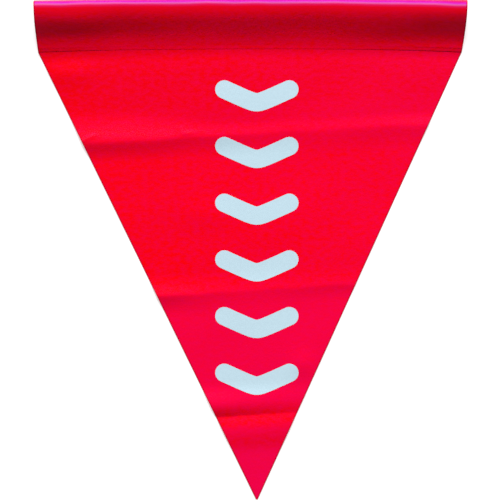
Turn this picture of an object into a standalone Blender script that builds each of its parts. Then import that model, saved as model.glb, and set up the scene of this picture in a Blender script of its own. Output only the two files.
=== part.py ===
"""A triangular safety flag for a marking rope, lying face up on a flat surface.

The flag is one cut of soft sheet. Its wide end is folded over to the front and welded
down, which leaves a sleeve for the rope, open at both ends and puffed up a little.
Folds left from packing stand up across the panel as soft ridges.

Metres, +Z up. X runs along the sleeve, +Y from the tip to the sleeve, and the origin is
under the middle of the flag's box, on the surface that it lies on.
"""

import math
from collections import namedtuple

import bmesh
import bpy
from mathutils import Vector

# The outline, as the flag lies. Its top edge bows up a little in the middle, and below the
# seam its sides are straight. A side is -1 for the left one and 1 for the right one
WIDTH = 0.2596
LENGTH = 0.3004
THICKNESS = 0.001
TIP_X = 0.0038
TIP_WIDTH = 0.001
END_FALL = {-1: 0.0014, 1: 0.0009}
SEAM_DEPTH = 0.0311
SEAM_INSET = {-1: 0.0025, 1: 0.0031}
SLEEVE_TAPER = 1.8

TOP_Y = LENGTH / 2
TIP_Y = -LENGTH / 2
END_Y = {side: TOP_Y - fall for side, fall in END_FALL.items()}
SEAM_Y = {side: end - SEAM_DEPTH for side, end in END_Y.items()}
BOW = TOP_Y - (END_Y[-1] + END_Y[1]) / 2

# Folds left from packing: the height of each crest's two ends along the panel's edges,
# how far it stands up there, and how far its flanks reach towards the sleeve and the tip
Crease = namedtuple("Crease", "left_y right_y left_rise right_rise above below")
CREASES = (
    Crease(0.0645, 0.0747, 0.0022, 0.0016, 0.012, 0.008),
    Crease(-0.0288, -0.0216, 0.0015, 0.0010, 0.010, 0.007),
    Crease(-0.0951, -0.0933, 0.0016, 0.0014, 0.007, 0.005),
    Crease(-0.1098, -0.1086, 0.0009, 0.0008, 0.005, 0.008),
)

# The sleeve at its left end, its middle and its right end: the crest's height, and how
# far the crest is from the top edge
Along = namedtuple("Along", "left middle right")
CREST_HEIGHT = Along(0.0126, 0.0102, 0.0120)
CREST_DEPTH = Along(0.0048, 0.0036, 0.0045)

# The same all along the sleeve: the lip where the sheet ends, how wide its back curls up,
# the top edge's share of the crest's height, and how steeply the front still falls where
# it meets the weld
LIP_DEPTH = 0.0302
UNDER_REACH = 0.005
EDGE_SHARE = 0.45
WELD_SLOPE = 0.23

# The weld, which holds the folded strip a little above the panel, behind a loose lip
FLAP_GAP = 0.0003
FLAP_HEIGHT = THICKNESS * 1.5 + FLAP_GAP
FLAT_BAND = 0.0026
WELD_NEAR = 0.0006
WELD_FAR = 0.0022
WELD_INSET = 0.0005

# How finely the sheet is divided
COLUMNS = 24
FLANK_STEPS = 4
PLAIN_STEP = 0.012
TURN_STEPS = 5
SLOPE_STEPS = 9
BAND_STEPS = 2

RED = (0.896, 0.001, 0.034, 1.0)
SHARP_ANGLE = math.radians(40)


def mix(first, last, share):
    """The value a share of the way from first to last."""
    return first + (last - first) * share


def along(shape, x):
    """A sleeve size at x, which changes slowly near the middle and faster at the ends."""
    end = shape.left if x < 0 else shape.right
    return mix(shape.middle, end, (2 * x / WIDTH) ** 2)


def bowed(left_y, right_y, x, bow):
    """A height at x on a line across the flag that bows up from its straight chord."""
    return mix(left_y, right_y, 0.5 + x / WIDTH) + bow * (1 - (2 * x / WIDTH) ** 2)


def fold_y(x):
    """The height at x of the sheet's middle surface where it turns over at the top."""
    return bowed(END_Y[-1], END_Y[1], x, BOW) - THICKNESS / 2


def edge_x(side, y):
    """Where the left or right edge of the flag is at a height y."""
    if y > SEAM_Y[side]:
        depth = max(0.0, END_Y[side] - y)
        drawn_in = SEAM_INSET[side] * (depth / SEAM_DEPTH) ** SLEEVE_TAPER
        return side * (WIDTH / 2 - drawn_in)
    seam_x = side * (WIDTH / 2 - SEAM_INSET[side])
    tip_x = TIP_X + side * TIP_WIDTH / 2
    return mix(tip_x, seam_x, (y - TIP_Y) / (SEAM_Y[side] - TIP_Y))


def ridge_rise(x, y):
    """How far the creases lift the sheet off the surface at a point of the panel."""
    rise = 0.0
    for crease in CREASES:
        left_x = edge_x(-1, crease.left_y)
        share = (x - left_x) / (edge_x(1, crease.right_y) - left_x)
        above_crest = y - mix(crease.left_y, crease.right_y, share)
        reach = crease.above if above_crest > 0 else crease.below
        flank = max(0.0, 1 - abs(above_crest) / reach)
        rise += mix(crease.left_rise, crease.right_rise, share) * flank**2
    return rise


def panel_rows():
    """Rows of the panel from the tip to the sleeve, as heights at their two ends."""
    last = THICKNESS / 2 + UNDER_REACH
    rows = [(TIP_Y, TIP_Y), (SEAM_Y[-1], SEAM_Y[1]), (END_Y[-1] - last, END_Y[1] - last)]
    for crease in CREASES:
        for step in range(-FLANK_STEPS, FLANK_STEPS + 1):
            reach = crease.above if step > 0 else crease.below
            shift = reach * step / FLANK_STEPS
            rows.append((crease.left_y + shift, crease.right_y + shift))
    rows.sort()
    filled = rows[:1]
    for start, end in zip(rows, rows[1:]):
        parts = math.ceil((end[0] - start[0]) / PLAIN_STEP)
        for part in range(1, parts + 1):
            share = part / parts
            filled.append((mix(start[0], end[0], share), mix(start[1], end[1], share)))
    return filled


def panel_point(row, share):
    """A point of the panel's middle surface, a share of the way along one of its rows.

    Rows are straight as far as the highest crease, and bow more and more up to the seam.
    """
    left_y, right_y = row
    x = mix(edge_x(-1, left_y), edge_x(1, right_y), share)
    straight_to = CREASES[0].left_y + CREASES[0].above
    bow_share = (left_y - straight_to) / (SEAM_Y[-1] - straight_to)
    y = mix(left_y, right_y, share)
    y += BOW * min(1.0, max(0.0, bow_share)) * (1 - (2 * share - 1) ** 2)
    return Vector((x, y, THICKNESS / 2 + ridge_rise(x, y)))


def turn_under(share, x):
    """The back of the sleeve curling up off the surface, to its top edge."""
    angle = share * math.pi / 2
    rise = EDGE_SHARE * along(CREST_HEIGHT, x) - THICKNESS / 2
    return UNDER_REACH * (1 - math.sin(angle)), THICKNESS / 2 + rise * (1 - math.cos(angle))


def turn_over(share, x):
    """The sleeve's front, from its top edge to its crest."""
    angle = share * math.pi / 2
    crest = along(CREST_HEIGHT, x)
    height = mix(EDGE_SHARE * crest, crest, math.sin(angle))
    return along(CREST_DEPTH, x) * (1 - math.cos(angle)), height


def slope_down(share, x):
    """The sleeve's front, level at its crest and still falling where the weld holds it."""
    start, end = along(CREST_DEPTH, x), LIP_DEPTH - FLAT_BAND
    eased = share**2 * (3 - 2 * share)
    bulge = WELD_SLOPE * (end - start) * share**2 * (1 - share)
    return mix(start, end, share), mix(along(CREST_HEIGHT, x), FLAP_HEIGHT, eased) + bulge


def flat_band(share, _x):
    """The welded band, down to the lip where the sheet ends."""
    return LIP_DEPTH - FLAT_BAND * (1 - share), FLAP_HEIGHT


def sleeve_rows():
    """Rows of the sleeve after the panel's last, as a stretch and a share along it."""
    stretches = (
        (turn_under, TURN_STEPS),
        (turn_over, TURN_STEPS),
        (slope_down, SLOPE_STEPS),
        (flat_band, BAND_STEPS),
    )
    rows = []
    for stretch, steps in stretches:
        rows += [(stretch, step / steps) for step in range(1, steps + 1)]
    return rows


def sleeve_point(row, share):
    """A point of the sleeve's middle surface, a share of the way from its left end."""
    stretch, along_stretch = row
    x = mix(-WIDTH / 2, WIDTH / 2, share)
    depth, height = stretch(along_stretch, x)
    y = fold_y(x) - depth
    return Vector((mix(edge_x(-1, y), edge_x(1, y), share), y, height))


def sheet_point(row, share):
    """A point of the whole sheet's middle surface."""
    return sleeve_point(row, share) if callable(row[0]) else panel_point(row, share)


def weld_point(row, share):
    """A point of the weld's middle surface, between the two layers that it joins."""
    y = fold_y(mix(-WIDTH / 2, WIDTH / 2, share)) - LIP_DEPTH + row
    left, right = edge_x(-1, y) + WELD_INSET, edge_x(1, y) - WELD_INSET
    return Vector((mix(left, right, share), y, (THICKNESS / 2 + FLAP_HEIGHT) / 2))


def sheet_object(name, rows, place, thickness, collection):
    """A grid with its points placed row by row, made solid to both sides of it."""
    bm = bmesh.new()
    bmesh.ops.create_grid(bm, x_segments=COLUMNS, y_segments=len(rows) - 1, size=1.0)
    for vert in bm.verts:
        row = rows[round((vert.co.y + 1) / 2 * (len(rows) - 1))]
        vert.co = place(row, (vert.co.x + 1) / 2)
    mesh = bpy.data.meshes.new(name)
    bm.to_mesh(mesh)
    bm.free()
    made = bpy.data.objects.new(name, mesh)
    collection.objects.link(made)
    solidify = made.modifiers.new("Sheet thickness", "SOLIDIFY")
    solidify.thickness = thickness
    solidify.offset = 0.0
    solidify.use_even_offset = True
    return made


def joined(sheet, weld):
    """Join the weld to the sheet, apply the modifiers and shade the sheet smooth."""
    union = sheet.modifiers.new("Weld", "BOOLEAN")
    union.operation = "UNION"
    union.solver = "EXACT"
    union.object = weld
    evaluated = sheet.evaluated_get(bpy.context.evaluated_depsgraph_get())
    mesh = bpy.data.meshes.new_from_object(evaluated)
    sheet.modifiers.clear()
    sheet.data = mesh
    mesh.shade_smooth()
    mesh.set_sharp_from_angle(angle=SHARP_ANGLE)


def red_sheet():
    """Satin red vinyl."""
    material = bpy.data.materials.new("red_vinyl")
    material.use_nodes = True
    shader = material.node_tree.nodes["Principled BSDF"]
    shader.inputs["Base Color"].default_value = RED
    shader.inputs["Roughness"].default_value = 0.4
    shader.inputs["Metallic"].default_value = 0.0
    return material


def new_collection(name):
    """A new collection in the scene."""
    collection = bpy.data.collections.new(name)
    bpy.context.scene.collection.children.link(collection)
    return collection


def main():
    for existing in list(bpy.data.objects):
        bpy.data.objects.remove(existing, do_unlink=True)
    flag = new_collection("safety_flag")
    helpers = new_collection("joined_shapes")

    sheet = sheet_object("flag_sheet", panel_rows() + sleeve_rows(), sheet_point, THICKNESS, flag)
    weld_height = FLAP_HEIGHT - THICKNESS / 2
    weld = sheet_object("weld_strip", [WELD_NEAR, WELD_FAR], weld_point, weld_height, helpers)
    weld.hide_render = True
    weld.display_type = "WIRE"
    joined(sheet, weld)
    sheet.data.materials.clear()
    sheet.data.materials.append(red_sheet())


main()
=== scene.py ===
"""A red safety flag for a marking rope, lying face up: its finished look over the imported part.

The flag is one cut of soft vinyl sheet. A long triangular panel lies flat, with the folds left
from packing across it, and the strip past its wide end is folded over to the front and welded
down, so that it makes an open sleeve for the rope. A column of chevrons is printed down the
panel. Metres, +Z up, +Y from the tip to the sleeve.
"""

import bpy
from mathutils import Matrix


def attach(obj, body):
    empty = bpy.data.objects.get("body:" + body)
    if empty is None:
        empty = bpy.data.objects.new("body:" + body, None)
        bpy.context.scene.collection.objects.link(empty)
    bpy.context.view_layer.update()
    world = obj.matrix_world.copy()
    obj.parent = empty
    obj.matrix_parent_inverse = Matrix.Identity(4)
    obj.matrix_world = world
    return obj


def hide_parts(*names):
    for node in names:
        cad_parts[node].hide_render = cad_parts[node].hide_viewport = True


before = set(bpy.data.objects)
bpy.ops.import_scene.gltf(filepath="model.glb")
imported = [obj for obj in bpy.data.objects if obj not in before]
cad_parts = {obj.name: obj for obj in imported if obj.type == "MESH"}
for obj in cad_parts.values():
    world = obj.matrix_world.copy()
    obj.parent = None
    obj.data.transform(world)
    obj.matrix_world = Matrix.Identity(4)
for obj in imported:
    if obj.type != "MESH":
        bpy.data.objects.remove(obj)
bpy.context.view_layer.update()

import logging
import math
from abc import ABC, abstractmethod
from dataclasses import dataclass
from enum import Enum

import bmesh
import bpy
import numpy as np

log = logging.getLogger("safety_flag")

MM = 0.001

Color = tuple[float, float, float, float]
Span = tuple[float, float]
Sizes = tuple[float, ...]
Number = float | np.ndarray
Piece = bpy.types.Object
Socket = bpy.types.NodeSocket
Source = Socket | float | Color
Section = tuple[Number, Number]

WHITE: Color = (1.0, 1.0, 1.0, 1.0)
SHEET = 0.4 * MM


class Side(Enum):
    """A side of the flag, as the sign of X there."""

    LEFT = -1
    RIGHT = 1


class Finish(Enum):
    """The Principled shader's sockets that the finishes set."""

    COLOR = "Base Color"
    ROUGHNESS = "Roughness"
    SPECULAR = "Specular IOR Level"
    METALLIC = "Metallic"
    TINT = "Specular Tint"
    NORMAL = "Normal"
    GLOW_COLOR = "Emission Color"
    GLOW = "Emission Strength"


def blend(first: Number, last: Number, share: Number) -> Number:
    """The value a share of the way from first to last."""
    return first + (last - first) * share


def only_selected(piece: Piece) -> None:
    """Deselect everything, then select a piece and make it active.

    Args:
        piece: The piece to work on.
    """
    bpy.ops.object.select_all(action="DESELECT")
    piece.select_set(True)
    bpy.context.view_layer.objects.active = piece


def apply_modifiers(piece: Piece) -> None:
    """Apply all of a piece's modifiers, in their order.

    Args:
        piece: The piece, which is selected on the way.
    """
    only_selected(piece)
    for name in [modifier.name for modifier in piece.modifiers]:
        bpy.ops.object.modifier_apply(modifier=name)


def vertex_places(mesh: bpy.types.Mesh) -> np.ndarray:
    """The places of a mesh's points, one row each."""
    return np.array([vertex.co for vertex in mesh.vertices])


def move_vertices(mesh: bpy.types.Mesh, places: np.ndarray) -> None:
    """Put a mesh's points at new places, one row each."""
    mesh.vertices.foreach_set("co", places.reshape(-1))
    mesh.update()


def rank(numbers: list[int], total: int) -> int:
    """The rank of a part of a mesh, by its last point's number and then its first one's."""
    return max(numbers) * total + min(numbers)


def numbered_grid(columns: int, rows: int) -> Piece:
    """Add a flat grid to shape.

    Args:
        columns: How many faces it has along X.
        rows: How many faces it has along Y.

    Returns:
        The grid, with each point at its column's number along X and its row's along Y.
    """
    bpy.ops.object.select_all(action="DESELECT")
    bpy.ops.mesh.primitive_grid_add(x_subdivisions=columns, y_subdivisions=rows, size=1.0)
    grid = bpy.context.active_object
    places = vertex_places(grid.data)
    places[:, :2] = np.rint((places[:, :2] + 0.5) * (columns, rows))
    move_vertices(grid.data, places)
    return grid


@dataclass(frozen=True)
class Outline:
    """The flag's outline as it lies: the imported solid's, with its top corners a little rounded.

    The top edge bows up a little in the middle, and the sides are straight below the seam. The
    sleeve's sides draw in by the insets, later for a higher taper.
    """

    width: float = 259.6 * MM
    length: float = 300.4 * MM
    tip_x: float = 3.8 * MM
    tip_width: float = 1.0 * MM
    left_fall: float = 1.4 * MM
    right_fall: float = 0.9 * MM
    seam_depth: float = 31.1 * MM
    left_inset: float = 2.5 * MM
    right_inset: float = 3.1 * MM
    taper: float = 1.8
    corner: float = 1.3 * MM

    @property
    def top_y(self) -> float:
        """The highest point of the top edge."""
        return self.length / 2

    @property
    def tip_y(self) -> float:
        """The flag's lower end."""
        return -self.length / 2

    @property
    def bow(self) -> float:
        """How far the top edge's middle is above the chord between its ends."""
        return self.top_y - (self.end_y(Side.LEFT) + self.end_y(Side.RIGHT)) / 2

    def end_y(self, side: Side) -> float:
        """Where the top edge ends on one side."""
        return self.top_y - (self.left_fall if side is Side.LEFT else self.right_fall)

    def seam_y(self, side: Side) -> float:
        """Where the sleeve's end meets the panel's straight edge on one side."""
        return self.end_y(side) - self.seam_depth

    def top_at(self, x: Number) -> Number:
        """The height of the top edge at x."""
        chord = blend(self.end_y(Side.LEFT), self.end_y(Side.RIGHT), 0.5 + x / self.width)
        return chord + self.bow * (1 - (2 * x / self.width) ** 2)

    def edge_x(self, side: Side, y: Number) -> Number:
        """Where the left or right edge is at a height y.

        Args:
            side: The edge that is meant.
            y: Heights in the panel or the sleeve.

        Returns:
            The edge's x at each height.
        """
        inset = self.left_inset if side is Side.LEFT else self.right_inset
        depth = np.clip(self.end_y(side) - y, 0.0, None)
        drawn_in = inset * (depth / self.seam_depth) ** self.taper
        turning = np.clip(1 - depth / self.corner, 0.0, 1.0)
        drawn_in += self.corner * (1 - np.sqrt(1 - turning**2))
        tip = self.tip_x + side.value * self.tip_width / 2
        share = (y - self.tip_y) / (self.seam_y(side) - self.tip_y)
        straight = blend(tip, side.value * (self.width / 2 - inset), share)
        return np.where(y > self.seam_y(side), side.value * (self.width / 2 - drawn_in), straight)


@dataclass(frozen=True)
class Wave:
    """An even wave, which turns by so many radians for each unit of x and of y."""

    turn_x: float
    turn_y: float = 0.0
    start: float = 0.0
    size: float = 1.0

    def at(self, x: Number, y: Number = 0.0) -> Number:
        """How far the wave is off its middle at a place."""
        return self.size * np.sin(self.turn_x * x + self.turn_y * y + self.start)


FOLD_WAVES = (Wave(23.0, start=0.6), Wave(41.0, start=2.1, size=0.6))
CREST_WAVE = Wave(9.0, start=0.8, size=0.12 * MM)
RIPPLES = (
    Wave(21.0, 88.0),
    Wave(61.0, -47.0, start=1.3),
    Wave(-74.0, 150.0, start=0.4, size=0.6),
)


@dataclass(frozen=True)
class FoldLine(ABC):
    """A fold left from packing, right across the panel, which wanders a little off straight.

    Stations are shares of the way from its left end to its right end, and the section's
    sizes are given at them in millimetres, or once for all of them: how far its flanks reach
    above and below its line, and how softly it turns on the line.
    """

    left_y: float
    right_y: float
    stations: Sizes
    above: Sizes
    below: Sizes
    softness: Sizes
    wander: float = 0.25 * MM

    def along(self, sizes: Sizes, share: Number) -> Number:
        """A size of the section, in metres, at a share of the fold's length."""
        return MM * np.interp(share, self.stations[: len(sizes)], sizes)

    def gap(self, share: Number, y: Number) -> Number:
        """How far a point is above the fold's line."""
        off_line = self.wander * sum(wave.at(share) for wave in FOLD_WAVES)
        return y - blend(self.left_y, self.right_y, share) - off_line

    def flank(self, upper: Sizes, lower: Sizes, share: Number, gap: Number) -> Number:
        """A size of the section that differs above and below the line."""
        return np.where(gap > 0, self.along(upper, share), self.along(lower, share))

    def nearness(self, share: Number, gap: Number) -> Number:
        """How far out a point is on its flank.

        Args:
            share: Shares of the way along the fold.
            gap: How far the points are above the line.

        Returns:
            From 0 on the line to 1 where the flank ends, and rounded on the line.
        """
        reach = self.flank(self.above, self.below, share, gap)
        soft = self.along(self.softness, share)
        return np.clip((np.sqrt(gap**2 + soft**2) - soft) / reach, 0.0, 1.0)

    @abstractmethod
    def lift(self, share: Number, y: Number) -> Number:
        """How far the fold lifts the sheet at a share of its width and a height."""


@dataclass(frozen=True)
class Ridge(FoldLine):
    """A fold that stands up from the surface, with flanks that run out flat."""

    rises: Sizes = ()

    def lift(self, share: Number, y: Number) -> Number:
        """How far the ridge lifts the sheet at a share of its width and a height."""
        return self.along(self.rises, share) * (1 - self.nearness(share, self.gap(share, y))) ** 2


@dataclass(frozen=True)
class Valley(FoldLine):
    """A fold that touches the surface between two low swells, which rise to a peak."""

    upper: Sizes = ()
    lower: Sizes = ()
    peak: float = 0.36

    def swelling(self, share: Number, gap: Number) -> Number:
        """The swell beside the line, straight up from it and running out gently.

        Args:
            share: Shares of the way along the fold.
            gap: How far the points are above the line.

        Returns:
            Its share of its full height at each point.
        """
        near = self.nearness(share, gap)
        rising = np.sin(np.clip(near / self.peak, 0.0, 1.0) * math.pi / 2)
        falling = np.cos(np.clip((near - self.peak) / (1 - self.peak), 0.0, 1.0) * math.pi / 2)
        return rising * falling**2

    def lift(self, share: Number, y: Number) -> Number:
        """How far the swells lift the sheet at a share of its width and a height."""
        gap = self.gap(share, y)
        return self.swelling(share, gap) * self.flank(self.upper, self.lower, share, gap)


@dataclass(frozen=True)
class Swell:
    """A low, soft rise in the sheet, as wide and long as its reaches."""

    x: float
    y: float
    reach_x: float
    reach_y: float
    height: float

    @classmethod
    def in_mm(cls, **sizes: float) -> "Swell":
        """A swell whose sizes are given in millimetres."""
        return cls(**{name: size * MM for name, size in sizes.items()})

    def lift(self, x: Number, y: Number) -> Number:
        """How far the swell lifts the sheet at a point."""
        away = ((x - self.x) / self.reach_x) ** 2 + ((y - self.y) / self.reach_y) ** 2
        return self.height * np.exp(-away)


@dataclass(frozen=True)
class Pucker:
    """A short narrow wrinkle between two points of the sheet."""

    start: tuple[float, float]
    end: tuple[float, float]
    half_width: float
    height: float

    def lift(self, x: Number, y: Number) -> Number:
        """How far the wrinkle lifts the sheet.

        Args:
            x, y: The points' places.

        Returns:
            The lift at each point.
        """
        run_x, run_y = self.end[0] - self.start[0], self.end[1] - self.start[1]
        off_x, off_y = x - self.start[0], y - self.start[1]
        share = np.clip((off_x * run_x + off_y * run_y) / (run_x**2 + run_y**2), 0.0, 1.0)
        away = (off_x - share * run_x) ** 2 + (off_y - share * run_y) ** 2
        return self.height * np.exp(-away / self.half_width**2)


FOLDS = (
    Ridge(
        left_y=63.5 * MM,
        right_y=74.5 * MM,
        stations=(0.0, 0.12, 0.32, 0.5, 0.72, 0.93, 1.0),
        rises=(2.0, 1.85, 1.05, 0.62, 0.45, 0.75, 0.8),
        above=(18.0, 17.0, 10.0, 7.0, 6.5, 6.5, 6.5),
        below=(10.3, 10.5, 11.0, 11.5, 13.0, 12.0, 12.0),
        softness=(2.8, 2.6, 1.6, 2.0, 2.5, 2.8, 2.8),
    ),
    Ridge(
        left_y=-28.6 * MM,
        right_y=-20.8 * MM,
        stations=(0.0, 0.08, 0.2, 0.4, 0.55, 0.8, 1.0),
        rises=(1.4, 1.3, 0.95, 0.5, 0.4, 0.45, 0.5),
        above=(12.0,),
        below=(10.5, 10.5, 13.0, 12.0, 9.0, 8.0, 7.0),
        softness=(1.2,),
    ),
    Valley(
        left_y=-101.2 * MM,
        right_y=-97.8 * MM,
        stations=(0.0, 0.3, 0.7, 1.0),
        upper=(1.4, 1.05, 0.7, 0.4),
        lower=(0.8, 0.85, 0.8, 0.7),
        above=(19.0,),
        below=(23.0,),
        softness=(0.35,),
        wander=0.1 * MM,
    ),
)

SWELLS = (
    Swell.in_mm(x=-109.0, y=106.0, reach_x=15.0, reach_y=9.0, height=0.6),
    Swell.in_mm(x=-27.0, y=20.0, reach_x=15.0, reach_y=9.0, height=0.4),
    Swell.in_mm(x=31.0, y=-69.5, reach_x=8.0, reach_y=7.0, height=0.6),
)

SLEEVE_SWELLS = (
    Swell.in_mm(x=-108.0, y=13.0, reach_x=14.0, reach_y=5.0, height=0.28),
    Swell.in_mm(x=84.0, y=19.0, reach_x=26.0, reach_y=6.5, height=0.4),
    Swell.in_mm(x=-36.0, y=15.0, reach_x=20.0, reach_y=6.0, height=-0.18),
    Swell.in_mm(x=34.0, y=13.5, reach_x=26.0, reach_y=8.5, height=-0.40),
    Swell.in_mm(x=-76.0, y=14.5, reach_x=15.0, reach_y=9.5, height=-0.42),
)

PUCKERS = (
    Pucker((-101.0 * MM, 64.6 * MM), (-92.0 * MM, 68.6 * MM), 1.1 * MM, 0.22 * MM),
    Pucker((-42.5 * MM, 72.6 * MM), (-39.6 * MM, 69.2 * MM), 1.0 * MM, 0.22 * MM),
    Pucker((-39.6 * MM, 69.2 * MM), (-33.0 * MM, 69.8 * MM), 1.0 * MM, 0.15 * MM),
)


@dataclass(frozen=True)
class Along:
    """A size of the sleeve at its left end, its middle and its right end."""

    left: float
    middle: float
    right: float

    def at(self, place: Number) -> Number:
        """The size at a place from -1 at the left end to 1 at the right end."""
        return blend(self.middle, np.where(place < 0, self.left, self.right), place**2)

    def near_ends(self, place: Number) -> Number:
        """The size at a place, where it changes mostly close to the two ends."""
        return self.at(place * np.abs(place))


@dataclass(frozen=True)
class Sleeve:
    """The section of the rope sleeve, as depths below the top edge and heights.

    The back curls up off the surface, turns over at the top edge, and the front falls from
    its crest to the weld, behind a narrow lip where the sheet ends. Steepness is given at even
    steps of the front. The pressed share is how far apart the middles of the two layers are at
    the weld, in thicknesses of the sheet, and the step is a small drop where the weld begins.
    """

    crest_height: Along = Along(13.2 * MM, 9.3 * MM, 12.9 * MM)
    crest_depth: Along = Along(4.5 * MM, 4.4 * MM, 5.1 * MM)
    under_reach: float = 5.0 * MM
    edge_share: float = 0.45
    roundness: float = 2.9
    weld_depth: Along = Along(28.5 * MM, 27.7 * MM, 28.7 * MM)
    steepness: tuple[Along, ...] = (
        Along(0.03, 0.03, 0.04),
        Along(0.36, 0.27, 0.49),
        Along(0.63, 0.42, 0.67),
        Along(0.71, 0.41, 0.62),
        Along(0.41, 0.33, 0.39),
        Along(0.30, 0.22, 0.17),
    )
    lip_depth: Along = Along(30.4 * MM, 29.9 * MM, 30.8 * MM)
    lip_drop: Along = Along(0.05 * MM, 0.06 * MM, 0.05 * MM)
    pressed_share: Along = Along(0.42, 0.38, 0.98)
    weld_step: Along = Along(0.06 * MM, 0.02 * MM, 0.14 * MM)
    step_reach: float = 0.25 * MM
    seam_rise: Along = Along(1.8 * MM, 0.8 * MM, 1.2 * MM)
    seam_above: float = 8.0 * MM
    seam_below: Along = Along(9.5 * MM, 8.0 * MM, 7.5 * MM)
    turn_rows: int = 12
    slope_rows: int = 22
    weld_rows: int = 9

    def seam_swell(self, depth: Number, place: Number) -> Number:
        """How far the stiff seam lifts the panel's layer.

        Args:
            depth: Depths below the top edge.
            place: Places along the sleeve, from -1 to 1.

        Returns:
            The lift at each point.
        """
        past = depth - self.weld_depth.at(place)
        above = np.clip(-past / self.seam_above, 0.0, 1.0)
        below = np.clip(past / self.seam_below.at(place), 0.0, 1.0)
        return self.seam_rise.at(place) * np.cos(above * math.pi / 2) ** 2 * (1 - below) ** 2

    def crest(self, place: Number) -> Number:
        """The crest's height, which is a little uneven along the sleeve."""
        return self.crest_height.at(place) + CREST_WAVE.at(place)

    def turn_under(self, angle: float, place: np.ndarray) -> Section:
        """The back curling up off the surface, to its top edge."""
        rise = (self.edge_share * self.crest(place) - SHEET / 2) * (1 - math.cos(angle))
        return self.under_reach * (1 - math.sin(angle)) + 0 * place, SHEET / 2 + rise

    def turn_over(self, angle: float, place: np.ndarray) -> Section:
        """The front from its top edge to its crest, squarer than a circle.

        Args:
            angle: How far it has turned, in radians.
            place: Places along the sleeve, from -1 to 1.

        Returns:
            Its depth below the top edge and its height, at each place.
        """
        crest, power = self.crest(place), 2 / self.roundness
        depth = self.crest_depth.at(place) * (1 - max(0.0, math.cos(angle)) ** power)
        return depth, blend(self.edge_share * crest, crest, math.sin(angle) ** power)

    def front_height(self, depth: Number, place: Number) -> Number:
        """The height of the front's middle where it is welded to the panel's layer."""
        apart = self.pressed_share.near_ends(place) * SHEET
        return SHEET / 2 + self.seam_swell(depth, place) + apart

    def fallen(self, share: float, place: np.ndarray) -> np.ndarray:
        """The share of its whole fall that the front has behind it at a share of its way.

        Args:
            share: The share of the way from the crest to the weld.
            place: Places along the sleeve, from -1 to 1.

        Returns:
            The share of the fall at each place.
        """
        steep = np.array([size.at(place) for size in self.steepness])
        pieces = (steep[1:] + steep[:-1]) / 2
        scaled = share * len(pieces)
        number = min(int(scaled), len(pieces) - 1)
        rest = scaled - number
        part = steep[number] * rest + (steep[number + 1] - steep[number]) * rest**2 / 2
        return (pieces[:number].sum(axis=0) + part) / pieces.sum(axis=0)

    def slope_down(self, share: float, place: np.ndarray) -> Section:
        """The front from its crest to the weld, where it is still falling.

        Args:
            share: The share of the way from the crest to the weld.
            place: Places along the sleeve, from -1 to 1.

        Returns:
            Its depth below the top edge and its height, at each place.
        """
        start, end = self.crest_depth.at(place), self.weld_depth.at(place)
        foot = self.front_height(end, place)
        return blend(start, end, share), blend(self.crest(place), foot, self.fallen(share, place))

    def weld_band(self, share: float, place: np.ndarray) -> Section:
        """The front from the weld to its lip, which is pressed down a little more."""
        depth = blend(self.weld_depth.at(place), self.lip_depth.near_ends(place), share)
        return depth, self.front_height(depth, place) - self.lip_drop.at(place) * share**2

    def rows(self, places: np.ndarray) -> list[Section]:
        """The sleeve's rows after the flat part of its back.

        Args:
            places: Places along the sleeve, from -1 to 1.

        Returns:
            For each row, its depth and height at each place.
        """
        turn = np.linspace(0.0, 1.0, self.turn_rows + 1)[1:] * math.pi / 2
        slope = np.sin(np.linspace(0.0, math.pi / 2, self.slope_rows + 1))[1:]
        band = np.linspace(0.0, 1.0, self.weld_rows + 1)[1:]
        made = [self.turn_under(angle, places) for angle in turn]
        made += [self.turn_over(angle, places) for angle in turn]
        made += [self.slope_down(share, places) for share in slope]
        made += [self.weld_band(share, places) for share in band]
        rows = []
        for depth, height in made:
            past = depth - self.weld_depth.at(places)
            pressed = 0.5 + 0.5 * np.tanh(past / self.step_reach)
            rows.append((depth, height - self.weld_step.near_ends(places) * pressed))
        return rows


@dataclass(frozen=True)
class Noise:
    """A noise pattern: how fine it is, and how much still finer noise it holds."""

    scale: float
    detail: float
    roughness: float = 0.5


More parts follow.
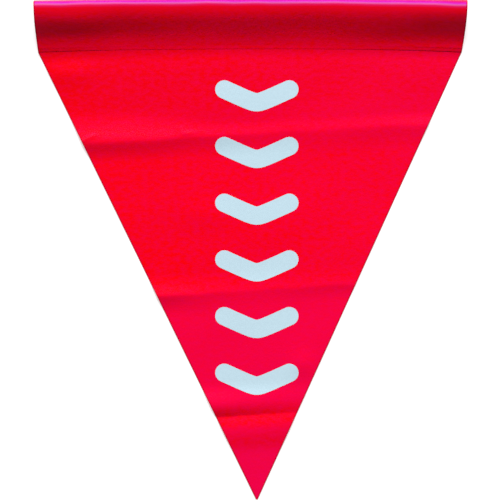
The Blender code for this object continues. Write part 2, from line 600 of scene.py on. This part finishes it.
class Wiring:
    """A new material's nodes, with a short call for each kind that the finishes need."""

    def __init__(self, name: str) -> None:
        """Start a material that has only its Principled shader.

        Args:
            name: The material's name.
        """
        self.material = bpy.data.materials.new(name)
        self.material.use_nodes = True
        self.tree = self.material.node_tree
        self.shader = self.tree.nodes["Principled BSDF"]

    def feed(self, socket: Socket, source: Source) -> None:
        """Link a socket, or set its own value.

        Args:
            socket: An input of a node.
            source: Another node's output, or the value.
        """
        if isinstance(source, Socket):
            self.tree.links.new(source, socket)
        else:
            socket.default_value = source

    def node(
        self, kind: str, sources: dict[str | int, Source], **settings: str | bool
    ) -> bpy.types.Node:
        """Add a node.

        Args:
            kind: The node's type.
            sources: What feeds its inputs, by their names or numbers.
            **settings: Its settings, made before its inputs are fed.

        Returns:
            The node.
        """
        made = self.tree.nodes.new(kind)
        for name, setting in settings.items():
            setattr(made, name, setting)
        for name, source in sources.items():
            self.feed(made.inputs[name], source)
        return made

    def finish(self, sources: dict[Finish, Source]) -> None:
        """Feed the shader's sockets."""
        for socket, source in sources.items():
            self.feed(self.shader.inputs[socket.value], source)

    def flat_pattern(self, name: str) -> Socket:
        """The place on the sheet's flat pattern, in metres, from its UV map."""
        return self.node("ShaderNodeUVMap", {}, uv_map=name).outputs["UV"]

    def attribute(self, name: str) -> Socket:
        """The value of one of the mesh's own attributes."""
        return self.node("ShaderNodeAttribute", {}, attribute_name=name).outputs["Fac"]

    def calculate(self, operation: str, *values: Source, clamp: bool = False) -> Socket:
        """Work a value out of others, and hold it from 0 to 1 if it is to be clamped."""
        sources, settings = dict(enumerate(values)), {"operation": operation, "use_clamp": clamp}
        return self.node("ShaderNodeMath", sources, **settings).outputs[0]

    def spread(self, value: Source, span: Span, onto: Span = (0.0, 1.0)) -> Socket:
        """Map a span of a value onto another span, held at both ends."""
        ends = {"From Min": span[0], "From Max": span[1], "To Min": onto[0], "To Max": onto[1]}
        return self.node("ShaderNodeMapRange", {"Value": value, **ends}).outputs["Result"]

    def noise(self, place: Socket, kind: Noise) -> Socket:
        """Make a noise pattern, about 0.5 on average."""
        sizes = {"Scale": kind.scale, "Detail": kind.detail, "Roughness": kind.roughness}
        return self.node("ShaderNodeTexNoise", {"Vector": place, **sizes}).outputs["Fac"]

    def ramp(self, value: Socket, stops: list[tuple[float, Color]]) -> bpy.types.Node:
        """Turn a value from 0 to 1 into colours.

        Args:
            value: The value.
            stops: At least two places from 0 to 1, each with its colour.

        Returns:
            The ramp's node.
        """
        made = self.node("ShaderNodeValToRGB", {"Fac": value})
        elements = made.color_ramp.elements
        for number, (place, color) in enumerate(stops):
            stop = elements[number] if number < 2 else elements.new(place)
            stop.position = place
            stop.color = color
        return made

    def mix(self, share: Source, first: Source, second: Source) -> Socket:
        """Mix two colours, by the share of the second."""
        sources = {"Factor": share, "A": first, "B": second}
        return self.node("ShaderNodeMix", sources, data_type="RGBA").outputs["Result"]

    def bump(self, pattern: Socket, strength: float, depth: float = 1.0 * MM) -> Socket:
        """Make a fine pattern stand up from the surface."""
        sources = {"Strength": strength, "Distance": depth, "Height": pattern}
        return self.node("ShaderNodeBump", sources).outputs["Normal"]


@dataclass(frozen=True)
class RedVinyl:
    """Satin red vinyl: a fine grain, a mottled red with painted shade and sheen, painted shade at
    the cut edge and a painted highlight on the turn.

    It reads the sheet's own flat pattern, so that the grain turns over with the sheet. Where
    the sheet turns over at the top, a pale, cool highlight is painted into the colour. Stops
    along the flag are a place, from 0 at the tip, with red and blue there: the sheet's own
    tone, whose red also carries painted shade and whose blue carries painted sheen on the fold
    flanks. Stops of the painted highlight are millimetres up the pattern, with a colour.
    """

    name: str = "red_vinyl"
    metallic: float = 0.0
    specular: float = 0.4
    tint: Color = (0.6, 0.35, 1.0, 1.0)
    roughness: Span = (0.33, 0.39)
    roughened: Span = (0.3, 0.7)
    stretched: tuple[float, float, float] = (1.0, 1.6, 1.0)
    patches: Noise = Noise(17.0, 3.0)
    mottles: Noise = Noise(260.0, 4.0, 0.62)
    pores: Noise = Noise(900.0, 3.0)
    grain: float = 0.09

    least_green: float = 0.0001
    # The span along the flag over which the tone, its painted shade and its painted sheen run.
    pigment_light_span: Span = (-150.0 * MM, 190.0 * MM)
    fold_slant: float = 0.055
    # Tone along the flag; its red also holds painted shade and its blue painted sheen on the fold
    # flanks.
    pigment_shade_and_sheen_stops: tuple[Sizes, ...] = (
        (0.0, 0.790, 0.051),
        (0.080, 0.788, 0.042),
        (0.102, 0.785, 0.011),
        (0.122, 0.795, 0.032),
        (0.134, 0.800, 0.001),
        (0.150, 0.800, 0.001),
        (0.172, 0.800, 0.038),
        (0.30, 0.810, 0.033),
        (0.355, 0.815, 0.027),
        (0.385, 0.820, 0.001),
        (0.50, 0.832, 0.002),
        (0.60, 0.824, 0.004),
        (0.64, 0.803, 0.014),
        (0.675, 0.778, 0.012),
        (0.71, 0.772, 0.002),
        (0.79, 0.765, 0.002),
        (0.88, 0.785, 0.001),
    )

    rose_red: Color = (0.765, 0.0002, 0.078, 1.0)
    rose_share: float = 0.21
    rose_sideways: float = 1.0
    sleeve_front: Span = (158.0 * MM, 166.0 * MM)
    mottling: float = 0.75
    patchiness: float = 0.12

    # Painted highlight on the turn: the span it is spread over, its bow, slant and wander, and its
    # colour stops.
    turn: Span = (150.0 * MM, 170.0 * MM)
    highlight_bow: float = 0.155
    highlight_slant: float = 0.0047
    highlight_wander: float = 4.0 * MM
    painted_highlight_stops: tuple[Sizes, ...] = (
        (153.6, 0.60, 0.0002, 0.020, 0.0),
        (155.4, 0.48, 0.0005, 0.080, 1.0),
        (157.2, 0.50, 0.008, 0.360, 1.0),
        (157.6, 0.53, 0.050, 0.330, 1.0),
        (158.1, 0.56, 0.070, 0.240, 1.0),
        (158.9, 0.63, 0.006, 0.095, 1.0),
        (160.2, 0.71, 0.0005, 0.013, 1.0),
        (165.5, 0.77, 0.0001, 0.001, 0.0),
    )

    # Painted shade along the cut edges: a darker red within this reach of the edge.
    painted_edge_shade: Color = (0.46, 0.0003, 0.015, 1.0)
    edge: Span = (0.35 * MM, 1.0 * MM)

    def pigment_with_painted_light(self, wiring: Wiring, x: Socket, y: Socket) -> Socket:
        """The sheet's own tone with painted shade and sheen, which change a little along the flag,
        on the slant of its folds.

        Args:
            wiring: The material's nodes.
            x, y: The place on the flat pattern.

        Returns:
            The dye's colour.
        """
        slanted = wiring.calculate("MULTIPLY_ADD", x, -self.fold_slant, y)
        green = self.least_green
        stops = [(place, (red, green, blue, 1.0)) for place, red, blue in self.pigment_shade_and_sheen_stops]
        ramp = wiring.ramp(wiring.spread(slanted, self.pigment_light_span), stops)
        # The colour: the sheet's tone with painted shade and sheen.
        ramp.color_ramp.interpolation = "EASE"
        return ramp.outputs["Color"]

    def rosiness(self, wiring: Wiring, x: Socket, y: Socket, noises: list[Socket]) -> Socket:
        """The share of rose in the red, which grows to the right on the panel.

        Args:
            wiring: The material's nodes.
            x, y: The place on the flat pattern.
            noises: The mottles and the patches that vary the share.

        Returns:
            The share.
        """
        sideways = wiring.spread(y, self.sleeve_front, (self.rose_sideways, 0.0))
        share = wiring.calculate("MULTIPLY_ADD", x, sideways, self.rose_share)
        for noise, amount in zip(noises, (self.mottling, self.patchiness)):
            varied = wiring.calculate("MULTIPLY_ADD", noise, 2 * amount, -amount)
            share = wiring.calculate("ADD", share, varied, clamp=True)
        return share

    def painted_highlight(self, wiring: Wiring, x: Socket, y: Socket, patches: Socket) -> bpy.types.Node:
        """The painted highlight where the sheet turns over, bowed, slanted and wandering a little.

        Args:
            wiring: The material's nodes.
            x, y: The place on the flat pattern.
            patches: The noise that it wanders by.

        Returns:
            The painted highlight's colour, with its strength as alpha.
        """
        wandering = wiring.calculate("MULTIPLY_ADD", patches, self.highlight_wander, y)
        slanted = wiring.calculate("MULTIPLY_ADD", x, -self.highlight_slant, wandering)
        squared = wiring.calculate("MULTIPLY", x, x)
        bowed = wiring.calculate("MULTIPLY_ADD", squared, -self.highlight_bow, slanted)
        low, high = self.turn
        middle = self.highlight_wander / 2
        stops = [((mm * MM - low) / (high - low), tuple(color)) for mm, *color in self.painted_highlight_stops]
        return wiring.ramp(wiring.spread(bowed, (low + middle, high + middle)), stops)

    def build(self, pattern_map: str, edge_layer: str) -> bpy.types.Material:
        """Make the material.

        Args:
            pattern_map: The UV map that holds the flat pattern, in metres.
            edge_layer: The attribute that holds the distance to the cut edge.

        Returns:
            The new material.
        """
        wiring = Wiring(self.name)
        flat = wiring.flat_pattern(pattern_map)
        axes = wiring.node("ShaderNodeSeparateXYZ", {"Vector": flat}).outputs
        x, y = axes["X"], axes["Y"]
        drawn = wiring.node("ShaderNodeMapping", {"Vector": flat, "Scale": self.stretched})
        patches = wiring.noise(drawn.outputs["Vector"], self.patches)
        mottles = wiring.noise(drawn.outputs["Vector"], self.mottles)

        rose = self.rosiness(wiring, x, y, [mottles, patches])
        # The tone with its painted shade and painted sheen, mixed with rose by the mottled share.
        color = wiring.mix(rose, self.pigment_with_painted_light(wiring, x, y), self.rose_red)
        # Painted highlight along the turn, mixed in by its strength.
        painted_highlight = self.painted_highlight(wiring, x, y, patches).outputs
        color = wiring.mix(painted_highlight["Alpha"], color, painted_highlight["Color"])
        # Painted shade darkens the colour towards the cut edges.
        edge_shade_share = wiring.spread(wiring.attribute(edge_layer), self.edge, (1.0, 0.0))
        color = wiring.mix(edge_shade_share, color, self.painted_edge_shade)

        grain = wiring.bump(wiring.noise(flat, self.pores), self.grain)
        satin = wiring.spread(patches, self.roughened, self.roughness)
        wiring.finish({Finish.COLOR: color, Finish.ROUGHNESS: satin, Finish.NORMAL: grain})
        wiring.finish({Finish.SPECULAR: self.specular, Finish.TINT: self.tint})
        wiring.finish({Finish.METALLIC: self.metallic})
        return wiring.material


@dataclass(frozen=True)
class WhiteInk:
    """A cool white screen ink, a little uneven and duller than the sheet."""

    name: str = "white_ink"
    full: Color = (0.500, 0.660, 0.745, 1.0)
    thin: Color = (0.455, 0.610, 0.695, 1.0)
    cover: Noise = Noise(420.0, 4.0)
    roughness: float = 0.55
    specular: float = 0.3
    grain: float = 0.05

    def build(self, pattern_map: str) -> bpy.types.Material:
        """Make the material.

        Args:
            pattern_map: The UV map that holds the flat pattern, in metres.

        Returns:
            The new material.
        """
        wiring = Wiring(self.name)
        cover = wiring.noise(wiring.flat_pattern(pattern_map), self.cover)
        color = wiring.mix(cover, self.full, self.thin)
        wiring.finish({Finish.COLOR: color, Finish.NORMAL: wiring.bump(cover, self.grain)})
        wiring.finish({Finish.ROUGHNESS: self.roughness, Finish.SPECULAR: self.specular})
        return wiring.material


@dataclass
class FlagSheet:
    """The one cut of sheet: the panel, its folds and the sleeve.

    Crowding is how much closer the rows lie near the folds, the edge steps are the columns
    beside each cut edge, and within the held reach past the lip the seam holds the panel down.
    """

    outline: Outline = Outline()
    sleeve: Sleeve = Sleeve()
    finish: RedVinyl = RedVinyl()
    columns: int = 108
    row_step: float = 1.5 * MM
    crowding: float = 0.7
    edge_steps: Sizes = (0.0, 0.4 * MM, 0.9 * MM, 1.6 * MM, 2.6 * MM)
    narrow_below: float = 20.0 * MM
    ripple: float = 0.07 * MM
    held_reach: float = 16.0 * MM
    smooth_below: float = 50.0
    pattern_map: str = "flat_pattern"
    edge_layer: str = "edge_gap"

    def panel_rows(self) -> np.ndarray:
        """Lay out the panel's rows, which follow the folds and lie closer together near them.

        Returns:
            The rows from the tip up, as the heights of their two ends.
        """
        line = self.outline
        curl = SHEET / 2 + self.sleeve.under_reach
        keys = [(line.tip_y, line.tip_y)]
        keys += sorted((fold.left_y, fold.right_y) for fold in FOLDS)
        keys.append((line.seam_y(Side.LEFT), line.seam_y(Side.RIGHT)))
        keys.append((line.end_y(Side.LEFT) - curl, line.end_y(Side.RIGHT) - curl))
        rows = [np.array(keys[0])]
        for start, end in zip(keys, keys[1:]):
            steps = math.ceil((end[0] - start[0]) / self.row_step)
            shares = np.linspace(0.0, 1.0, steps + 1)[1:]
            shares = shares - self.crowding * np.sin(2 * math.pi * shares) / (2 * math.pi)
            rows += [blend(np.array(start), np.array(end), share) for share in shares]
        return np.array(rows)

    def column_shares(self, widths: np.ndarray) -> np.ndarray:
        """Shares across each row, closer together beside the two cut edges.

        Args:
            widths: The width of each row.

        Returns:
            One row of shares for each width.
        """
        near = np.array(self.edge_steps)
        scale = np.minimum(1.0, widths / self.narrow_below) / widths
        left = near[None, :] * scale[:, None]
        inner = self.columns + 1 - 2 * len(near)
        steps = np.linspace(0.0, 1.0, inner + 2)[1:-1]
        middle = blend(left[:, -1:], 1 - left[:, -1:], steps[None, :])
        return np.hstack([left, middle, 1 - left[:, ::-1]])

    def panel_lift(self, x: np.ndarray, y: np.ndarray) -> np.ndarray:
        """How far folds, swells and wrinkles lift the panel, less and less up to the lip.

        Args:
            x, y: The points' places.

        Returns:
            The lift at each point.
        """
        total = np.zeros_like(x)
        for fold in FOLDS:
            left = self.outline.edge_x(Side.LEFT, np.array(fold.left_y))
            right = self.outline.edge_x(Side.RIGHT, np.array(fold.right_y))
            total += fold.lift(np.clip((x - left) / (right - left), 0.0, 1.0), y)
        for rise in SWELLS + PUCKERS:
            total += rise.lift(x, y)
        waves = sum(wave.at(x, y) for wave in RIPPLES)
        total += self.ripple * (waves + sum(wave.size for wave in RIPPLES))
        depth, place = self.outline.top_at(x) - y, 2 * x / self.outline.width
        past_lip = depth - self.sleeve.lip_depth.near_ends(place)
        free = np.clip(past_lip / self.held_reach, 0.0, 1.0)
        return total * free**2 * (3 - 2 * free) + self.sleeve.seam_swell(depth, place)

    def panel_points(self) -> np.ndarray:
        """The middle of the sheet at every row and column of the panel.

        Returns:
            The places, by row and column.
        """
        line, rows = self.outline, self.panel_rows()
        left = line.edge_x(Side.LEFT, rows[:, 0])
        right = line.edge_x(Side.RIGHT, rows[:, 1])
        shares = self.column_shares(right - left)
        x = blend(left[:, None], right[:, None], shares)
        highest = max(FOLDS, key=lambda fold: fold.left_y)
        straight_to = highest.left_y + highest.above[0] * MM
        bowing = (rows[:, 0] - straight_to) / (line.seam_y(Side.LEFT) - straight_to)
        bowed = np.clip(bowing, 0.0, 1.0)[:, None] * (1 - (2 * shares - 1) ** 2)
        y = blend(rows[:, :1], rows[:, 1:], shares) + line.bow * bowed
        return np.stack([x, y, SHEET / 2 + self.panel_lift(x, y)], axis=-1)

    def sleeve_points(self) -> np.ndarray:
        """The middle of the sheet at every row and column of the sleeve.

        Returns:
            The places, by row and column. The front alone is uneven, as the back lies flat.
        """
        line = self.outline
        shares = self.column_shares(np.array([line.width]))[0]
        across = (shares - 0.5) * line.width
        rows = []
        for number, (depth, height) in enumerate(self.sleeve.rows(2 * shares - 1)):
            y = line.top_at(across) - SHEET / 2 - depth
            left, right = line.edge_x(Side.LEFT, y), line.edge_x(Side.RIGHT, y)
            front = number >= self.sleeve.turn_rows
            uneven = front * sum(rise.lift(across, depth) for rise in SLEEVE_SWELLS)
            rows.append(np.stack([blend(left, right, shares), y, height + uneven], axis=-1))
        return np.array(rows)

    def blank(self, panel_rows: int, sleeve_rows: int) -> Piece:
        """An unshaped sheet: a grid for the panel, with the sleeve's rows extruded from it.

        Extruding leaves new parts in an order that differs from run to run, so they are sorted.

        Args:
            panel_rows: How many rows of faces the panel has.
            sleeve_rows: How many rows of faces the sleeve has.

        Returns:
            The sheet, with each column at its number along X, the panel's rows at theirs
            along Y and the sleeve's at theirs along Z.
        """
        sheet = numbered_grid(self.columns, panel_rows)
        sheet.name = "flag_cloth"
        bpy.ops.object.mode_set(mode="EDIT")
        bpy.ops.mesh.select_mode(type="VERT")
        bpy.ops.mesh.select_all(action="DESELECT")
        shape = bmesh.from_edit_mesh(sheet.data)
        for vert in shape.verts:
            vert.select = vert.co.y > panel_rows - 0.5
        shape.select_flush(True)
        bmesh.update_edit_mesh(sheet.data)
        bpy.ops.mesh.select_mode(type="EDGE")
        for _ in range(sleeve_rows):
            bpy.ops.mesh.extrude_region_move(TRANSFORM_OT_translate={"value": (0.0, 0.0, 1.0)})
        shape = bmesh.from_edit_mesh(sheet.data)
        shape.verts.sort(key=lambda vert: (vert.co.y + vert.co.z) * (self.columns + 1) + vert.co.x)
        shape.verts.index_update()
        for parts in (shape.edges, shape.faces):
            parts.sort(key=lambda part: rank([vert.index for vert in part.verts], len(shape.verts)))
        bmesh.update_edit_mesh(sheet.data)
        bpy.ops.object.mode_set(mode="OBJECT")
        return sheet

    def shaped(self) -> Piece:
        """Shape the sheet's middle surface.

        Returns:
            The surface in its place, with its flat pattern and edge distances.
        """
        panel, sleeve = self.panel_points(), self.sleeve_points()
        points = np.concatenate([panel, sleeve])
        sheet = self.blank(len(panel) - 1, len(sleeve))
        number = np.rint(vertex_places(sheet.data)).astype(int)
        rows, columns = number[:, 1] + number[:, 2], number[:, 0]
        move_vertices(sheet.data, points[rows, columns])

        steps = np.linalg.norm(np.diff(points[:, :, 1:], axis=0), axis=2)
        lengthways = points[:, :, 1].copy()
        for row in range(len(panel), len(points)):
            lengthways[row] = lengthways[row - 1] + steps[row - 1]
        width = points[:, -1:, 0] - points[:, :1, 0]
        from_left = points[:, :, 0] - points[:, :1, 0]
        gap = np.minimum(from_left, width - from_left)

        corners = [loop.vertex_index for loop in sheet.data.loops]
        flat = np.stack([points[:, :, 0], lengthways], axis=-1)[rows, columns]
        while sheet.data.uv_layers:
            sheet.data.uv_layers.remove(sheet.data.uv_layers[0])
        pattern = sheet.data.uv_layers.new(name=self.pattern_map)
        pattern.data.foreach_set("uv", flat[corners].reshape(-1))
        edge = sheet.data.attributes.new(self.edge_layer, "FLOAT", "POINT")
        edge.data.foreach_set("value", gap[rows, columns].reshape(-1))
        return sheet

    def thicken(self, sheet: Piece) -> None:
        """Give the sheet its thickness.

        Args:
            sheet: The sheet's middle surface, which grows to both sides.
        """
        wall = sheet.modifiers.new("Sheet thickness", "SOLIDIFY")
        wall.thickness = SHEET
        wall.offset = 0.0
        wall.use_even_offset = True
        wall.use_quality_normals = True
        apply_modifiers(sheet)
        bpy.ops.object.shade_smooth_by_angle(angle=math.radians(self.smooth_below))

    def dress(self, sheet: Piece) -> None:
        """Give the sheet its finish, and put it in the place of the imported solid.

        Args:
            sheet: The sheet with its thickness.
        """
        sheet.data.materials.clear()
        sheet.data.materials.append(self.finish.build(self.pattern_map, self.edge_layer))
        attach(sheet, "root")
        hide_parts("flag_sheet")


@dataclass
class ChevronPrint:
    """A column of chevrons printed down the panel, pointing to its tip.

    Each chevron is one stroke of even width with round ends. The ink is a thin film cut from
    the sheet's own surface, so it follows every fold.
    """

    finish: WhiteInk = WhiteInk()
    count: int = 6
    middle_x: float = 3.8 * MM
    first_y: float = 88.0 * MM
    pitch: float = 34.0 * MM
    half_span: float = 19.5 * MM
    half_stroke: float = 5.5 * MM
    slope: float = 0.46
    apex_radius: float = 3.0 * MM
    round_steps: int = 8
    arm_points: int = 41
    merged_below: float = 0.01 * MM
    block: float = 12.0 * MM
    film: float = 0.08 * MM
    sunk: float = 0.03 * MM
    margin: float = 4.0 * MM
    smooth_below: float = 40.0

    def stroke(self) -> Piece:
        """Shape one chevron.

        Returns:
            A flat stroke with its point at the origin.
        """
        turn = np.linspace(math.pi / 2, 0.0, self.round_steps + 1)[:-1]
        start = self.half_stroke * np.sin(turn)
        reach = self.half_stroke * np.cos(turn)
        along = np.linspace(-self.half_span, self.half_span, self.arm_points)
        base = np.pad(along, self.round_steps, mode="edge")
        past = np.concatenate([-start, np.zeros_like(along), start[::-1]])
        half = np.concatenate([reach, np.full_like(along, self.half_stroke), reach[::-1]])

        stroke = numbered_grid(len(base) - 1, self.round_steps)
        places = vertex_places(stroke.data)
        step = places[:, 0].astype(int)
        side = 2 * places[:, 1] / self.round_steps - 1
        bend = np.sqrt(base**2 + self.apex_radius**2)
        run = np.stack([np.ones_like(base), self.slope * base / bend])
        run /= np.linalg.norm(run, axis=0)
        middle = np.stack([base, self.slope * (bend - self.apex_radius)]) + past * run
        places[:, 0] = middle[0, step] - side * half[step] * run[1, step]
        places[:, 1] = middle[1, step] + side * half[step] * run[0, step]
        move_vertices(stroke.data, places)
        bpy.ops.object.mode_set(mode="EDIT")
        bpy.ops.mesh.select_all(action="SELECT")
        bpy.ops.mesh.remove_doubles(threshold=self.merged_below)
        bpy.ops.object.mode_set(mode="OBJECT")
        return stroke

    def stencil(self) -> Piece:
        """Put all the chevrons in their places.

        Returns:
            Blocks that stand right through the sheet, as one object.
        """
        first = self.stroke()
        block = first.modifiers.new("Block", "SOLIDIFY")
        block.thickness = self.block
        block.offset = 0.0
        apply_modifiers(first)
        strokes = [first]
        for _ in range(self.count - 1):
            only_selected(first)
            bpy.ops.object.duplicate()
            strokes.append(bpy.context.active_object)
        for number, stroke in enumerate(strokes):
            places = vertex_places(stroke.data)
            places += (self.middle_x, self.first_y - number * self.pitch, 0.0)
            move_vertices(stroke.data, places)
        only_selected(first)
        for stroke in strokes:
            stroke.select_set(True)
        bpy.ops.object.join()
        return first

    def film_from(self, sheet: Piece) -> Piece:
        """A thin film over the middle of the panel, cut from the sheet's middle surface.

        Args:
            sheet: The sheet before it gets its thickness.

        Returns:
            The film, which lies on the sheet and is sunk into it a little.
        """
        only_selected(sheet)
        bpy.ops.object.duplicate()
        film = bpy.context.active_object
        film.name = "chevron_print"
        reach = self.half_span + self.half_stroke + self.margin
        low = self.first_y - (self.count - 1) * self.pitch - self.half_stroke - self.margin
        high = self.first_y + self.half_span * self.slope + self.half_stroke + self.margin
        bpy.ops.object.mode_set(mode="EDIT")
        bpy.ops.mesh.select_mode(type="FACE")
        shape = bmesh.from_edit_mesh(film.data)
        for face in shape.faces:
            place = face.calc_center_median()
            inside = abs(place.x - self.middle_x) < reach and low < place.y < high
            face.select = not inside
        shape.select_flush(True)
        bmesh.update_edit_mesh(film.data)
        bpy.ops.mesh.delete(type="FACE")
        bpy.ops.object.mode_set(mode="OBJECT")
        normals = np.array([vertex.normal for vertex in film.data.vertices])
        normals *= np.sign(normals[:, 2:])
        lift = SHEET / 2 - self.sunk + self.film / 2
        move_vertices(film.data, vertex_places(film.data) + normals * lift)
        wall = film.modifiers.new("Film", "SOLIDIFY")
        wall.thickness = self.film
        wall.offset = 0.0
        apply_modifiers(film)
        return film

    def build(self, sheet: Piece, pattern_map: str) -> Piece:
        """Cut the chevrons out of the film and give them their ink.

        Args:
            sheet: The sheet before it gets its thickness.
            pattern_map: The UV map that holds the sheet's flat pattern.

        Returns:
            The print, as one piece.
        """
        film = self.film_from(sheet)
        stencil = self.stencil()
        cut = film.modifiers.new("Chevrons", "BOOLEAN")
        cut.operation = "INTERSECT"
        cut.solver = "EXACT"
        cut.object = stencil
        apply_modifiers(film)
        bpy.data.objects.remove(stencil, do_unlink=True)
        bpy.ops.object.shade_smooth_by_angle(angle=math.radians(self.smooth_below))
        film.data.materials.clear()
        film.data.materials.append(self.finish.build(pattern_map))
        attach(film, "root")
        return film


@dataclass(frozen=True)
class PaleFloor:
    """A matt floor that glows a little, so that it shows pale all over."""

    name: str = "pale_floor"
    color: Color = (0.50, 0.50, 0.50, 1.0)
    roughness: float = 0.9
    specular: float = 0.0
    glow: float = 0.62

    def build(self) -> bpy.types.Material:
        """Make the material.

        Returns:
            The new material.
        """
        wiring = Wiring(self.name)
        wiring.finish({Finish.COLOR: self.color, Finish.ROUGHNESS: self.roughness})
        wiring.finish({Finish.SPECULAR: self.specular})
        wiring.finish({Finish.GLOW_COLOR: WHITE, Finish.GLOW: self.glow})
        return wiring.material


@dataclass
class Studio:
    """The pale floor, the soft light from beyond the sleeve and the camera overhead."""

    finish: PaleFloor = PaleFloor()
    floor_size: float = 12.0
    floor_z: float = -0.05 * MM
    light_distance: float = 9.0
    light_size: float = 3.6
    key_height: float = 38.0
    key_power: float = 1500.0
    sheen_height: float = 50.0
    sheen_power: float = 120.0
    fill: float = 0.10
    camera_height: float = 3.0
    sensor: float = 36.0
    clip_end: float = 50.0
    frame_width: float = 0.300
    centre: tuple[float, float] = (-0.3 * MM, -0.63 * MM)

    def floor(self) -> None:
        """Lay the floor just under the flag."""
        bpy.ops.object.select_all(action="DESELECT")
        bpy.ops.mesh.primitive_plane_add(size=self.floor_size, location=(0.0, 0.0, self.floor_z))
        floor = bpy.context.active_object
        floor.name = "floor"
        floor.data.materials.append(self.finish.build())

    def soft_lamp(self, name: str, height: float, power: float) -> Piece:
        """Set a large square lamp beyond the sleeve, aimed at the flag.

        Args:
            name: The lamp's name.
            height: How high it stands over the floor, in degrees.
            power: Its power in watts.

        Returns:
            The lamp.
        """
        angle = math.radians(height)
        place = (0.0, self.light_distance * math.cos(angle), self.light_distance * math.sin(angle))
        bpy.ops.object.light_add(type="AREA", location=place)
        lamp = bpy.context.active_object
        lamp.name = name
        lamp.rotation_euler = (-(math.pi / 2 - angle), 0.0, 0.0)
        lamp.data.shape = "SQUARE"
        lamp.data.size = self.light_size
        lamp.data.energy = power
        return lamp

    def lights(self) -> None:
        """Set the key light, a weaker lamp that only makes the sheen, and an even white fill."""
        key = self.soft_lamp("key_light", self.key_height, self.key_power)
        key.visible_glossy = False
        sheen = self.soft_lamp("sheen_light", self.sheen_height, self.sheen_power)
        sheen.visible_diffuse = False
        world = bpy.data.worlds.new("studio")
        world.use_nodes = True
        background = world.node_tree.nodes["Background"]
        background.inputs["Color"].default_value = WHITE
        background.inputs["Strength"].default_value = self.fill
        world.cycles_visibility.glossy = False
        bpy.context.scene.world = world

    def camera(self) -> None:
        """Hang the camera straight above the flag, framed on the photograph's square."""
        place = (*self.centre, self.camera_height)
        bpy.ops.object.camera_add(location=place, rotation=(0.0, 0.0, 0.0))
        camera = bpy.context.active_object
        camera.data.sensor_width = self.sensor
        camera.data.lens = self.sensor * self.camera_height / self.frame_width
        camera.data.clip_end = self.clip_end
        bpy.context.scene.camera = camera
        bpy.context.scene.view_settings.view_transform = "Standard"


def report(piece: Piece) -> None:
    """Log a piece's size and how many faces it has."""
    size = " x ".join(f"{side / MM:.1f}" for side in piece.dimensions)
    log.info("%s: %s mm, %d faces", piece.name, size, len(piece.data.polygons))


def main() -> None:
    """Build the flag's sheet, its print and the studio round them."""
    logging.basicConfig(level=logging.INFO, format="%(message)s")
    flag = FlagSheet()
    cloth = flag.shaped()
    chevrons = ChevronPrint().build(cloth, flag.pattern_map)
    flag.thicken(cloth)
    flag.dress(cloth)
    studio = Studio()
    studio.floor()
    studio.lights()
    studio.camera()
    for piece in (cloth, chevrons):
        report(piece)


if __name__ == "__main__":
    main()
